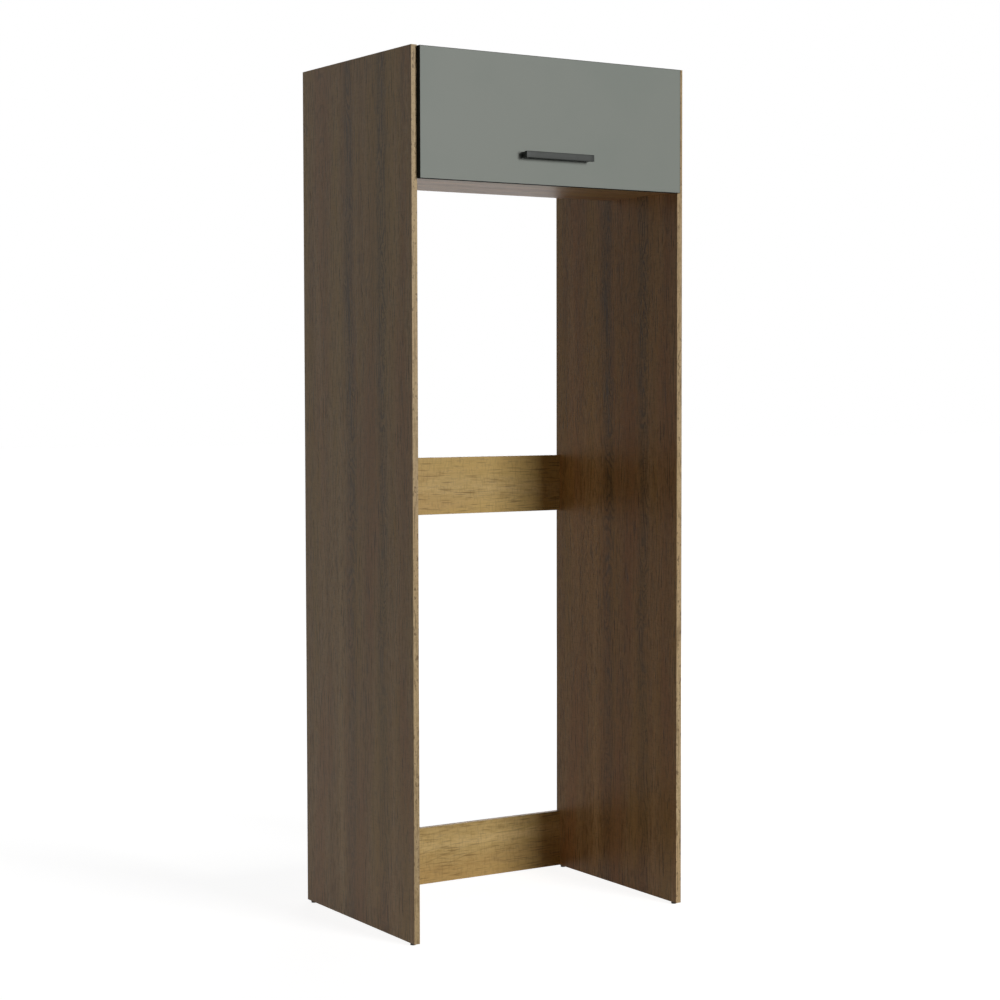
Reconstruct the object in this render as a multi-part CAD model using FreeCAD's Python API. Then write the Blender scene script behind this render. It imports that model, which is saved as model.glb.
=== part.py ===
"""Fridge housing cabinet: two tall side panels, back rails and a top compartment with a flip-up door.

Millimetres. +Z is up, +X is to the right of someone facing the cabinet, the door faces -Y.
The origin is on the floor, at the middle of the overall width and depth.
"""
import FreeCAD, Part
import math
import os

os.makedirs("parts", exist_ok=True)
V = FreeCAD.Vector
X_AXIS = V(1, 0, 0)
Y_AXIS = V(0, 1, 0)
Z_AXIS = V(0, 0, 1)
SIDES = (("left", -1), ("right", 1))
SAME_PLANE = 0.001        # tolerance when an edge is picked by its place

# Boards
PANEL_T = 15.0            # all panels, rails and the door
BAND_T = 1.0              # edge band
EDGE_ROUND = 0.4          # rounding of the banded edges
OVERALL_WIDTH = 775.0
SIDE_HEIGHT = 2105.0
SIDE_DEPTH = 560.0
COMPARTMENT_HEIGHT = 305.0  # from the side panels' top to the compartment's underside
SHELF_SETBACK = 4.0       # bottom panel's front edge behind the side panels' front edges
COMPARTMENT_DEPTH = 302.0  # bottom panel, front to back
BACK_PANEL_T = 3.0
BACK_PANEL_GAP = 0.5      # to each side panel
RAIL_HEIGHT = 150.0
MIDDLE_RAIL_AT = 977.5    # lower edge of the middle rail above the side panels' lower ends
LOWER_RAIL_AT = 0.0

# Door and its hang
DOOR_GAP = 2.0            # door's back to the bottom panel's front edge
DOOR_SIDE_GAP = 0.5       # door's ends to the side panels' inner faces
DOOR_TOP_GAP = 2.0        # door's top below the side panels' top
DOOR_OVERHANG = 3.0       # door's lower edge below the compartment's underside
OPEN_ANGLE = 90.0

# Handle
HANDLE_LENGTH = 193.0
HANDLE_PROJECTION = 26.0
HANDLE_BAR_T = 9.0
HANDLE_BAR_H = 16.0
HANDLE_LEG_W = 12.0
HANDLE_ABOVE_EDGE = 69.0  # bar's middle above the door's lower edge
HANDLE_ROUND = 1.2
HANDLE_SCREW_R = 2.0
HANDLE_SCREW_GRIP = 14.0  # thread inside a leg

# Glides
FOOT_R = 7.0
FOOT_H = 5.0
FOOT_INSET = 20.0         # glide's middle behind and before the side panel's ends
FOOT_ROUND = 1.2
FOOT_NAIL_R = 1.1
FOOT_NAIL_LENGTH = 20.0   # above the nail's head
FOOT_NAIL_HEAD_R = 2.6
FOOT_NAIL_HEAD_H = 1.2
FOOT_NAIL_SUNK = 0.8

# Knock-down joints
FIT = 0.05                # radial room of a pin, dowel or screw in its hole
DOWEL_R = 4.0
DOWEL_LENGTH = 30.0
DOWEL_IN_SIDE = 10.0
CAM_R = 7.5
CAM_H = 12.5
CAM_SETBACK = 24.0        # cam's middle from the panel's end
CAM_SLOT_W = 1.4
CAM_SLOT_LENGTH = 9.0
CAM_SLOT_DEPTH = 2.0
BOLT_THREAD_R = 2.5
BOLT_IN_SIDE = 10.0
BOLT_SHANK_R = 3.0
BOLT_HEAD_R = 3.75
BOLT_HEAD_H = 3.0
BOLT_ROOM = 0.3           # radial room round the bolt's head
SHELF_CAM_INSET = 60.0    # cams from the front and back edges of the top and bottom panels
SHELF_DOWEL_INSET = 28.0  # dowels from the same edges
RAIL_DOWEL_INSET = 30.0   # dowels from the rail's long edges

# Back panel nails
NAIL_R = 0.8
NAIL_LENGTH = 18.0
NAIL_HEAD_R = 2.0
NAIL_HEAD_H = 0.8
NAIL_COUNT = 5            # along each of the two edges
NAIL_END = 60.0           # outer nails from the back panel's ends

# Wood screws that hold the fittings
SCREW_R = 1.75
SCREW_LENGTH = 12.0
SCREW_HEAD_R = 3.4
SCREW_HEAD_H = 2.0
SCREW_RECESS = 0.8

# Cup hinges
HINGE_INSET = 102.5       # hinge's middle inside the side panel's inner face
CUP_R = 17.5
CUP_DEPTH = 12.0
CUP_WALL = 1.0
CUP_FROM_EDGE = 22.5      # cup's middle below the door's top edge
CUP_FLANGE_T = 1.0
CUP_EAR_LENGTH = 62.0
CUP_EAR_H = 16.0
CUP_SCREW_PITCH = 48.0
PIN_BELOW_EDGE = 12.0     # hinge axis below the door's top edge
PIN_IN_DOOR = 6.0         # hinge axis in front of the door's back face
PIN_R = 2.0
LUG_R = 3.6
LUG_T = 3.0
ARM_W = 14.0
ARM_T = 2.5
ARM_DROP = 8.0            # arm's upper face below the hinge axis
ARM_LEG_T = 3.0
ARM_LENGTH = 48.0         # arm behind the top panel's front edge
HINGE_SIDE_ROOM = 0.3     # arm's eye to each lug
PLATE_BEHIND = 3.0        # mounting plate behind the top panel's front edge
PLATE_LENGTH = 46.0
PLATE_WING_T = 2.0
PLATE_WING_W = 46.0
PLATE_WING_LENGTH = 14.0
PLATE_SCREW_PITCH = 32.0
TOP_PANEL_ROOM = 2.0      # top panel's front edge to the door's sweep

# Gas struts
STRUT_OFFSET = 12.0       # strut's middle plane inside the side panel's inner face
SIDE_STUD_BEHIND = 120.0  # side stud behind the hinge axis
SIDE_STUD_BELOW = 190.0   # side stud below the hinge axis
DOOR_STUD_STANDOFF = 19.0  # door stud behind the door's back face
DOOR_STUD_BELOW = 45.0    # door stud below the hinge axis
STUD_R = 4.0
STUD_HEAD_R = 5.5
STUD_HEAD_T = 2.0
STUD_ROOM = 0.4           # strut end to the stud's shoulder and head
OPEN_PIVOT_ROOM = 0.3     # rod end to the door stud's tip
STRUT_END_R = 7.0
STRUT_END_W = 8.0
STRUT_NECK_R = 3.6
TUBE_R = 7.5
TUBE_WALL = 1.0
TUBE_START = 14.0         # tube's closed end from the side stud
ROD_SHOWN = 12.0          # bare rod between gland and rod end, door shut
ROD_END_NECK = 14.0       # rod end's neck from the door stud
ROD_R = 3.0
GLAND_LENGTH = 10.0
GLAND_LIP = 2.0
PISTON_R = 6.2
PISTON_LENGTH = 8.0
PISTON_ROOM = 6.0         # piston to the tube's closed end, door shut
BRACKET_T = 2.0
BRACKET_W = 26.0
BRACKET_H = 44.0
BRACKET_SCREW_PITCH = 28.0
BRACKET_ROUND = 4.0
DOOR_FOOT_W = 18.0        # door bracket's foot along the door
DOOR_BRACKET_H = 36.0
DOOR_BRACKET_SCREW_PITCH = 22.0

# Bumpers
BUMPER_R = 4.0
BUMPER_ROOM = 0.2         # bumper to the bottom panel's front edge
BUMPER_INSET = 40.0       # from the door's ends

# Wall angles
ANGLE_T = 2.0
ANGLE_LEG = 40.0
ANGLE_H = 40.0
ANGLE_BELOW_TOP = 80.0    # angle's middle below the side panels' top
ANGLE_HOLE_R = 3.25
ANGLE_HOLE_IN = 25.0      # wall hole from the side panel's inner face
ANGLE_SCREW_PITCH = 20.0
ANGLE_SCREW_IN = 22.0     # screws in front of the angle's back face
ANGLE_BEND_R = 2.0

# Reference planes worked out from the sizes above
INNER = OVERALL_WIDTH / 2 - PANEL_T
BASE = FOOT_H
TOP = BASE + SIDE_HEIGHT
DOOR_PROUD = PANEL_T + DOOR_GAP - SHELF_SETBACK
FRONT = (DOOR_PROUD + HANDLE_PROJECTION - SIDE_DEPTH) / 2
BACK = FRONT + SIDE_DEPTH
NICHE_HEIGHT = SIDE_HEIGHT - COMPARTMENT_HEIGHT
FLOOR_UNDER = BASE + NICHE_HEIGHT
FLOOR_TOP = FLOOR_UNDER + PANEL_T
ROOF_UNDER = TOP - PANEL_T
SHELF_FRONT = FRONT + SHELF_SETBACK
SHELF_BACK = SHELF_FRONT + COMPARTMENT_DEPTH
DOOR_FRONT = FRONT - DOOR_PROUD
DOOR_BACK = DOOR_FRONT + PANEL_T
DOOR_TOP = TOP - DOOR_TOP_GAP
DOOR_BOTTOM = FLOOR_UNDER - DOOR_OVERHANG
DOOR_HALF = INNER - DOOR_SIDE_GAP
PIN_Y = DOOR_BACK - PIN_IN_DOOR
PIN_Z = DOOR_TOP - PIN_BELOW_EDGE
SWEEP = math.hypot(PIN_IN_DOOR, PIN_BELOW_EDGE)
ROOF_FRONT = PIN_Y + SWEEP + TOP_PANEL_ROOM
RAIL_FRONT = BACK - PANEL_T
HINGE_X = INNER - HINGE_INSET
STRUT_X = INNER - STRUT_OFFSET
SIDE_STUD = (PIN_Y + SIDE_STUD_BEHIND, PIN_Z - SIDE_STUD_BELOW)
DOOR_STUD = (DOOR_BACK + DOOR_STUD_STANDOFF, PIN_Z - DOOR_STUD_BELOW)


def box(x0, x1, y0, y1, z0, z1):
    """Block between two corners, given in any order along X."""
    low, high = min(x0, x1), max(x0, x1)
    return Part.makeBox(high - low, y1 - y0, z1 - z0, V(low, y0, z0))


def rod(start, axis, radius, length):
    """Round bar from a point along an axis."""
    return Part.makeCylinder(radius, length, start, axis)


def soften(shape, radius, keep):
    """Round the edges whose middle point passes the test."""
    edges = [edge for edge in shape.Edges if keep(edge.CenterOfMass)]
    return shape.makeFillet(radius, edges)


def near(value, plane):
    """Tell whether a coordinate lies on a plane."""
    return abs(value - plane) < SAME_PLANE


def export(name, shapes):
    """Write one node, from one solid or a group of separate solids."""
    group = shapes if isinstance(shapes, list) else [shapes]
    solids = [solid.removeSplitter() for solid in group]
    node = solids[0] if len(solids) == 1 else Part.makeCompound(solids)
    node.exportStep("parts/%s.step" % name)


def cut_all(shape, tools):
    """Take every tool out of a shape."""
    return shape.cut(tools) if tools else shape


def wood_screw(seat, into):
    """Pan-head screw whose head stands on a seat point; returns the screw and the bore of its shank."""
    head = rod(seat, -into, SCREW_HEAD_R, SCREW_HEAD_H)
    rim = [edge for edge in head.Edges if near((edge.CenterOfMass - seat).dot(-into), SCREW_HEAD_H)]
    head = head.makeFillet(SCREW_HEAD_H / 2, rim)
    side = into.cross(X_AXIS if abs(into.x) < 0.5 else Z_AXIS)
    recess = []
    for direction in (side, into.cross(side)):
        length, width = SCREW_HEAD_R, SCREW_RECESS
        corner = seat - into * SCREW_HEAD_H - direction * (length / 2)
        across = into.cross(direction)
        face = Part.makePolygon([
            corner - across * (width / 2), corner + across * (width / 2),
            corner + across * (width / 2) + direction * length,
            corner - across * (width / 2) + direction * length,
            corner - across * (width / 2)])
        recess.append(Part.Face(face).extrude(into * SCREW_RECESS))
    head = head.cut(recess)
    screw = head.fuse(rod(seat, into, SCREW_R, SCREW_LENGTH))
    return screw, rod(seat, into, SCREW_R + FIT, SCREW_LENGTH)


def rounded_plate(x0, x1, y0, y1, z0, z1, axis, radius):
    """Block with its four edges along one axis rounded."""
    plate = box(x0, x1, y0, y1, z0, z1)
    edges = [e for e in plate.Edges if abs(e.tangentAt(e.FirstParameter).dot(axis)) > 0.9]
    return plate.makeFillet(radius, edges)


class Joinery:
    """Cams, bolts and dowels that hold one board between the side panels, and the bores they need."""

    def __init__(self):
        self.cams = []
        self.bolts = []
        self.dowels = []
        self.side_bores = {-1: [], 1: []}

    def dowel(self, sign, y, z):
        """Dowel across the seam between a board's end and a side panel; returns the board's bore."""
        start = V(sign * (INNER + DOWEL_IN_SIDE), y, z)
        self.dowels.append(rod(start, X_AXIS * -sign, DOWEL_R, DOWEL_LENGTH))
        bore = rod(start, X_AXIS * -sign, DOWEL_R + FIT, DOWEL_LENGTH)
        self.side_bores[sign].append(bore)
        return bore

    def cam(self, sign, y, z, face, inward):
        """Cam in a board's face with its bolt in the side panel; returns the board's bores."""
        along = X_AXIS * -sign
        seam = V(sign * INNER, y, z)
        centre = seam + along * CAM_SETBACK
        mouth = centre + inward * (face - centre.dot(inward))
        disc = rod(mouth, inward, CAM_R, CAM_H)
        slot_half = CAM_SLOT_LENGTH / 2
        across = along.cross(inward)
        corner = mouth - along * slot_half - across * (CAM_SLOT_W / 2)
        outline = Part.makePolygon([
            corner, corner + along * CAM_SLOT_LENGTH,
            corner + along * CAM_SLOT_LENGTH + across * CAM_SLOT_W,
            corner + across * CAM_SLOT_W, corner])
        slot = Part.Face(outline).extrude(inward * CAM_SLOT_DEPTH)
        socket = rod(seam, along, BOLT_HEAD_R + BOLT_ROOM, CAM_SETBACK + BOLT_HEAD_H)
        self.cams.append(disc.cut([slot, socket]))
        thread = rod(seam - along * BOLT_IN_SIDE, along, BOLT_THREAD_R, BOLT_IN_SIDE)
        shank = rod(seam, along, BOLT_SHANK_R, CAM_SETBACK)
        head = rod(centre - along * (BOLT_HEAD_H / 2), along, BOLT_HEAD_R, BOLT_HEAD_H)
        self.bolts.append(thread.fuse([shank, head]))
        thread_bore = rod(seam - along * BOLT_IN_SIDE, along, BOLT_THREAD_R + FIT, BOLT_IN_SIDE)
        self.side_bores[sign].append(thread_bore)
        return [rod(mouth, inward, CAM_R + FIT, CAM_H), socket]


def shelf_joints(joinery, y_front, y_back, z_middle, face):
    """Bores of the top or bottom panel, whose cams open upwards."""
    bores = []
    for sign in (-1, 1):
        for y in (y_front + SHELF_CAM_INSET, y_back - SHELF_CAM_INSET):
            bores += joinery.cam(sign, y, z_middle, -face, -Z_AXIS)
        for y in (y_front + SHELF_DOWEL_INSET, y_back - SHELF_DOWEL_INSET):
            bores.append(joinery.dowel(sign, y, z_middle))
    return bores


def rail_joints(joinery, z_low):
    """Bores of a back rail, whose cams open backwards."""
    bores = []
    y_middle = BACK - PANEL_T / 2
    for sign in (-1, 1):
        bores += joinery.cam(sign, y_middle, z_low + RAIL_HEIGHT / 2, -BACK, -Y_AXIS)
        for z in (z_low + RAIL_DOWEL_INSET, z_low + RAIL_HEIGHT - RAIL_DOWEL_INSET):
            bores.append(joinery.dowel(sign, y_middle, z))
    return bores


def rails(joinery):
    """Middle and lower back rail with the bands on their long edges."""
    bands = []
    for name, height in (("middle_back_rail", MIDDLE_RAIL_AT), ("lower_back_rail", LOWER_RAIL_AT)):
        low = BASE + height
        high = low + RAIL_HEIGHT
        core = box(-INNER, INNER, RAIL_FRONT, BACK, low + BAND_T, high - BAND_T)
        export(name, cut_all(core, rail_joints(joinery, low)))
        for z0, z1, outer in ((low, low + BAND_T, low), (high - BAND_T, high, high)):
            band = box(-INNER, INNER, RAIL_FRONT, BACK, z0, z1)
            bands.append(soften(band, EDGE_ROUND, lambda p, z=outer: near(p.z, z) and near(p.x, 0)))
    export("rail_edge_bands", bands)


def back_panel(floor_nails, roof_nails):
    """Thin back of the compartment, nailed to the back edges of the top and bottom panels."""
    half = INNER - BACK_PANEL_GAP
    outer = SHELF_BACK + BACK_PANEL_T
    sheet = box(-half, half, SHELF_BACK, outer, FLOOR_UNDER, TOP)
    nails = []
    step = 2 * (half - NAIL_END) / (NAIL_COUNT - 1)
    for row, height in ((floor_nails, FLOOR_UNDER + PANEL_T / 2), (roof_nails, ROOF_UNDER + PANEL_T / 2)):
        for index in range(NAIL_COUNT):
            seat = V(index * step - half + NAIL_END, outer, height)
            head = rod(seat, Y_AXIS, NAIL_HEAD_R, NAIL_HEAD_H)
            nails.append(head.fuse(rod(seat, -Y_AXIS, NAIL_R, NAIL_LENGTH)))
            row.append(rod(seat, -Y_AXIS, NAIL_R + FIT, NAIL_LENGTH))
    export("back_panel", sheet.cut(floor_nails + roof_nails))
    export("back_panel_nails", nails)


def hinge_plates():
    """Cross-shaped mounting plates under the top panel; returns the screw bores in that panel."""
    screws, bores = [], []
    y0 = ROOF_FRONT + PLATE_BEHIND
    y1 = y0 + PLATE_LENGTH
    arm_top = PIN_Z - ARM_DROP
    for side, sign in SIDES:
        middle = sign * HINGE_X
        block = box(middle - ARM_W / 2, middle + ARM_W / 2, y0, y1, arm_top, ROOF_UNDER)
        wing_y = (y0 + y1 - PLATE_WING_LENGTH) / 2
        wing = rounded_plate(middle - PLATE_WING_W / 2, middle + PLATE_WING_W / 2, wing_y,
                             wing_y + PLATE_WING_LENGTH, ROOF_UNDER - PLATE_WING_T, ROOF_UNDER,
                             Z_AXIS, BRACKET_ROUND)
        holes = []
        for step in (-1, 1):
            seat = V(middle + step * PLATE_SCREW_PITCH / 2, (y0 + y1) / 2, ROOF_UNDER - PLATE_WING_T)
            screw, bore = wood_screw(seat, Z_AXIS)
            screws.append(screw)
            holes.append(bore)
        export(side + "_hinge_plate", block.fuse(wing).cut(holes))
        bores += holes
    export("hinge_plate_screws", screws)
    return bores


def hinge_arms():
    """Cranked arms: an eye on the pin, a short leg down, and a flat run back under the mounting plate."""
    arm_top = PIN_Z - ARM_DROP
    for side, sign in SIDES:
        x0 = sign * HINGE_X - ARM_W / 2
        x1 = x0 + ARM_W
        run = box(x0, x1, PIN_Y - ARM_LEG_T / 2, ROOF_FRONT + ARM_LENGTH, arm_top - ARM_T, arm_top)
        leg = box(x0, x1, PIN_Y - ARM_LEG_T / 2, PIN_Y + ARM_LEG_T / 2, arm_top, PIN_Z)
        eye = rod(V(x0, PIN_Y, PIN_Z), X_AXIS, LUG_R, ARM_W)
        bore = rod(V(x0, PIN_Y, PIN_Z), X_AXIS, PIN_R + FIT, ARM_W)
        export(side + "_hinge_arm", run.fuse([leg, eye]).cut(bore))


def carcass_panels(joinery, plate_bores, side_tools):
    """Side, top and bottom panels with their front edge bands."""
    floor_nails, roof_nails = [], []
    back_panel(floor_nails, roof_nails)
    floor_core = box(-INNER, INNER, SHELF_FRONT + BAND_T, SHELF_BACK, FLOOR_UNDER, FLOOR_TOP)
    floor_bores = shelf_joints(joinery, SHELF_FRONT, SHELF_BACK, FLOOR_UNDER + PANEL_T / 2, FLOOR_TOP)
    export("bottom_panel", floor_core.cut(floor_bores + floor_nails))
    roof_core = box(-INNER, INNER, ROOF_FRONT + BAND_T, SHELF_BACK, ROOF_UNDER, TOP)
    roof_bores = shelf_joints(joinery, ROOF_FRONT, SHELF_BACK, ROOF_UNDER + PANEL_T / 2, TOP)
    export("top_panel", roof_core.cut(roof_bores + roof_nails + plate_bores))
    bands = []
    for y, low in ((SHELF_FRONT, FLOOR_UNDER), (ROOF_FRONT, ROOF_UNDER)):
        band = box(-INNER, INNER, y, y + BAND_T, low, low + PANEL_T)
        bands.append(soften(band, EDGE_ROUND, lambda p, plane=y: near(p.y, plane) and near(p.x, 0)))
    export("compartment_edge_bands", bands)
    rails(joinery)
    middle_z = (BASE + TOP) / 2
    for side, sign in SIDES:
        core = box(sign * INNER, sign * OVERALL_WIDTH / 2, FRONT + BAND_T, BACK, BASE, TOP)
        export(side + "_side_panel", core.cut(joinery.side_bores[sign] + side_tools[sign]))
        band = box(sign * INNER, sign * OVERALL_WIDTH / 2, FRONT, FRONT + BAND_T, BASE, TOP)
        band = soften(band, EDGE_ROUND, lambda p: near(p.y, FRONT) and near(p.z, middle_z))
        export(side + "_front_edge_band", band)
    export("cam_housings", joinery.cams)
    export("cam_bolts", joinery.bolts)
    export("wood_dowels", joinery.dowels)


def feet(side_tools):
    """Nail-on glides under the side panels."""
    nails = []
    for side, sign in SIDES:
        x = sign * (INNER + PANEL_T / 2)
        for place, y in (("front", FRONT + FOOT_INSET), ("back", BACK - FOOT_INSET)):
            pad = rod(V(x, y, 0), Z_AXIS, FOOT_R, FOOT_H)
            pad = soften(pad, FOOT_ROUND, lambda p: near(p.z, 0))
            head_seat = V(x, y, FOOT_NAIL_SUNK)
            well = rod(V(x, y, 0), Z_AXIS, FOOT_NAIL_HEAD_R + FIT, FOOT_NAIL_SUNK + FOOT_NAIL_HEAD_H)
            hole = rod(V(x, y, 0), Z_AXIS, FOOT_NAIL_R + FIT, FOOT_NAIL_SUNK + FOOT_NAIL_LENGTH)
            head = rod(head_seat, Z_AXIS, FOOT_NAIL_HEAD_R, FOOT_NAIL_HEAD_H)
            nails.append(head.fuse(rod(head_seat, Z_AXIS, FOOT_NAIL_R, FOOT_NAIL_LENGTH)))
            side_tools[sign].append(hole)
            export("%s_%s_foot" % (place, side), pad.cut([well, hole]))
    export("foot_nails", nails)


def wall_angles(side_tools):
    """Steel angles at the back of the side panels' inner faces, each with one hole for the wall."""
    screws = []
    z_middle = TOP - ANGLE_BELOW_TOP
    for side, sign in SIDES:
        z0, z1 = z_middle - ANGLE_H / 2, z_middle + ANGLE_H / 2
        on_side = box(sign * (INNER - ANGLE_T), sign * INNER, BACK - ANGLE_LEG, BACK, z0, z1)
        on_wall = box(sign * (INNER - ANGLE_LEG), sign * INNER, BACK - ANGLE_T, BACK, z0, z1)
        angle = on_side.fuse(on_wall).removeSplitter()
        angle = soften(angle, ANGLE_BEND_R, lambda p, x=sign * INNER: near(p.x, x) and near(p.y, BACK))
        hole = rod(V(sign * (INNER - ANGLE_HOLE_IN), BACK - ANGLE_T, z_middle), Y_AXIS, ANGLE_HOLE_R, ANGLE_T)
        bores = []
        for step in (-1, 1):
            seat = V(sign * (INNER - ANGLE_T), BACK - ANGLE_SCREW_IN, z_middle + step * ANGLE_SCREW_PITCH / 2)
            screw, bore = wood_screw(seat, X_AXIS * sign)
            screws.append(screw)
            bores.append(bore)
        side_tools[sign] += bores
        export(side + "_wall_angle", angle.cut(bores + [hole]))
    export("wall_angle_screws", screws)


def strut_side_brackets(side_tools):
    """Plates on the side panels with the stud that each strut's tube end turns on."""
    screws = []
    y, z = SIDE_STUD
    for side, sign in SIDES:
        inward = X_AXIS * -sign
        face = INNER - BRACKET_T
        plate = rounded_plate(sign * face, sign * INNER, y - BRACKET_W / 2, y + BRACKET_W / 2,
                              z - BRACKET_H / 2, z + BRACKET_H / 2, X_AXIS, BRACKET_ROUND)
        outer = STRUT_X + STRUT_END_W / 2 + STUD_ROOM
        inner = STRUT_X - STRUT_END_W / 2 - STUD_ROOM
        shoulder = rod(V(sign * face, y, z), inward, STUD_HEAD_R, face - outer)
        stud = rod(V(sign * outer, y, z), inward, STUD_R, outer - inner)
        head = rod(V(sign * inner, y, z), inward, STUD_HEAD_R, STUD_HEAD_T)
        bores = []
        for step in (-1, 1):
            seat = V(sign * face, y, z + step * BRACKET_SCREW_PITCH / 2)
            screw, bore = wood_screw(seat, X_AXIS * sign)
            screws.append(screw)
            bores.append(bore)
        side_tools[sign] += bores
        export(side + "_strut_side_bracket", plate.fuse([shoulder, stud, head]).cut(bores))
    export("strut_side_screws", screws)


def strut_door_brackets():
    """Angles on the door's back with a stud beside each rod end; returns the screw bores in the door."""
    screws, all_bores = [], []
    y, z = DOOR_STUD
    tip = STRUT_X - STRUT_END_W / 2 - OPEN_PIVOT_ROOM
    upright = tip - STUD_R
    for side, sign in SIDES:
        z0, z1 = z - DOOR_BRACKET_H / 2, z + DOOR_BRACKET_H / 2
        foot = rounded_plate(sign * (upright - DOOR_FOOT_W), sign * upright, DOOR_BACK, DOOR_BACK + BRACKET_T,
                             z0, z1, Y_AXIS, BRACKET_T)
        cheek = rounded_plate(sign * (upright - BRACKET_T), sign * upright, DOOR_BACK, y + STUD_HEAD_R,
                              z - STUD_HEAD_R, z + STUD_HEAD_R, X_AXIS, BRACKET_T)
        heel = box(sign * (upright - BRACKET_T), sign * upright, DOOR_BACK, y,
                   z - STUD_HEAD_R, z + STUD_HEAD_R)
        stud = rod(V(sign * upright, y, z), X_AXIS * sign, STUD_R, tip - upright)
        bores = []
        for step in (-1, 1):
            seat = V(sign * (upright - BRACKET_T - (DOOR_FOOT_W - BRACKET_T) / 2), DOOR_BACK + BRACKET_T,
                     z + step * DOOR_BRACKET_SCREW_PITCH / 2)
            screw, bore = wood_screw(seat, -Y_AXIS)
            screws.append(screw)
            bores.append(bore)
        export(side + "_strut_door_bracket", foot.fuse([cheek, heel, stud]).cut(bores))
        all_bores += bores
    export("strut_door_screws", screws)
    return all_bores


def struts():
    """Gas struts along the line between the two studs, door shut."""
    span = V(0, DOOR_STUD[0] - SIDE_STUD[0], DOOR_STUD[1] - SIDE_STUD[1])
    reach = span.Length
    along = V(span).normalize()
    tube_end = reach - ROD_END_NECK - ROD_SHOWN
    for side, sign in SIDES:
        foot = V(sign * STRUT_X, *SIDE_STUD)
        tip = V(sign * STRUT_X, *DOOR_STUD)
        edge = X_AXIS * (STRUT_END_W / 2)
        tube_eye = rod(foot - edge, X_AXIS, STRUT_END_R, STRUT_END_W)
        tube_eye = tube_eye.fuse(rod(foot, along, STRUT_NECK_R, TUBE_START))
        tube_eye = tube_eye.cut(rod(foot - edge, X_AXIS, STUD_R + FIT, STRUT_END_W))
        export(side + "_strut_tube_end", tube_eye)
        shell = rod(foot + along * TUBE_START, along, TUBE_R, tube_end - TUBE_START)
        hollow = rod(foot + along * (TUBE_START + TUBE_WALL), along, TUBE_R - TUBE_WALL,
                     tube_end - TUBE_START - TUBE_WALL)
        export(side + "_strut_tube", shell.cut(hollow))
        plug = rod(foot + along * (tube_end - GLAND_LENGTH), along, TUBE_R - TUBE_WALL, GLAND_LENGTH)
        lip = rod(foot + along * tube_end, along, TUBE_R, GLAND_LIP)
        lip = lip.makeFillet(GLAND_LIP / 2, [e for e in lip.Edges if near((e.CenterOfMass - foot).dot(along),
                                                                          tube_end + GLAND_LIP)])
        bore = rod(foot, along, ROD_R + FIT, reach)
        export(side + "_strut_gland", plug.fuse(lip).cut(bore))
        rod_eye = rod(tip - edge, X_AXIS, STRUT_END_R, STRUT_END_W)
        rod_eye = rod_eye.fuse(rod(tip, -along, STRUT_NECK_R, ROD_END_NECK))
        export(side + "_strut_rod_end", rod_eye)
        piston_at = TUBE_START + TUBE_WALL + PISTON_ROOM
        bar_start = piston_at + PISTON_LENGTH
        export(side + "_strut_piston", rod(foot + along * piston_at, along, PISTON_R, PISTON_LENGTH))
        bar_length = reach - ROD_END_NECK - bar_start
        export(side + "_strut_rod", rod(foot + along * bar_start, along, ROD_R, bar_length))


def hinge_cups():
    """Cups let into the door's back, each with two lugs and a pin; returns the bores in the door."""
    pins, screws, all_bores = [], [], []
    z = DOOR_TOP - CUP_FROM_EDGE
    lug_in = ARM_W / 2 + HINGE_SIDE_ROOM
    lug_out = lug_in + LUG_T
    for side, sign in SIDES:
        middle = sign * HINGE_X
        mouth = V(middle, DOOR_BACK, z)
        outer = rod(mouth, -Y_AXIS, CUP_R, CUP_DEPTH)
        flange = rod(mouth, Y_AXIS, CUP_R + CUP_FLANGE_T, CUP_FLANGE_T)
        ears = rounded_plate(middle - CUP_EAR_LENGTH / 2, middle + CUP_EAR_LENGTH / 2, DOOR_BACK,
                             DOOR_BACK + CUP_FLANGE_T, z - CUP_EAR_H / 2, z + CUP_EAR_H / 2,
                             Y_AXIS, BRACKET_ROUND)
        hollow = rod(mouth + Y_AXIS * CUP_FLANGE_T, -Y_AXIS, CUP_R - CUP_WALL,
                     CUP_DEPTH - CUP_WALL + CUP_FLANGE_T)
        cup = outer.fuse([flange, ears]).cut(hollow)
        floor = DOOR_BACK - CUP_DEPTH + CUP_WALL
        lugs = []
        for x0, x1 in ((-lug_out, -lug_in), (lug_in, lug_out)):
            disc = rod(V(middle + x0, PIN_Y, PIN_Z), X_AXIS, LUG_R, LUG_T)
            stem = box(middle + x0, middle + x1, floor - CUP_WALL / 2, PIN_Y, PIN_Z - LUG_R, PIN_Z + LUG_R)
            inside = rod(mouth, -Y_AXIS, CUP_R - CUP_WALL / 2, CUP_DEPTH - CUP_WALL / 2)
            lugs.append(disc.fuse(stem).common(inside))
        pin_bore = rod(V(middle - lug_out, PIN_Y, PIN_Z), X_AXIS, PIN_R + FIT, 2 * lug_out)
        pins.append(rod(V(middle - lug_out, PIN_Y, PIN_Z), X_AXIS, PIN_R, 2 * lug_out))
        bores = []
        for step in (-1, 1):
            seat = V(middle + step * CUP_SCREW_PITCH / 2, DOOR_BACK + CUP_FLANGE_T, z)
            screw, bore = wood_screw(seat, -Y_AXIS)
            screws.append(screw)
            bores.append(bore)
        export(side + "_hinge_cup", cup.fuse(lugs).cut(bores + [pin_bore]))
        all_bores += bores + [rod(mouth, -Y_AXIS, CUP_R + FIT, CUP_DEPTH)]
    export("hinge_pins", pins)
    export("hinge_cup_screws", screws)
    return all_bores


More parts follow.
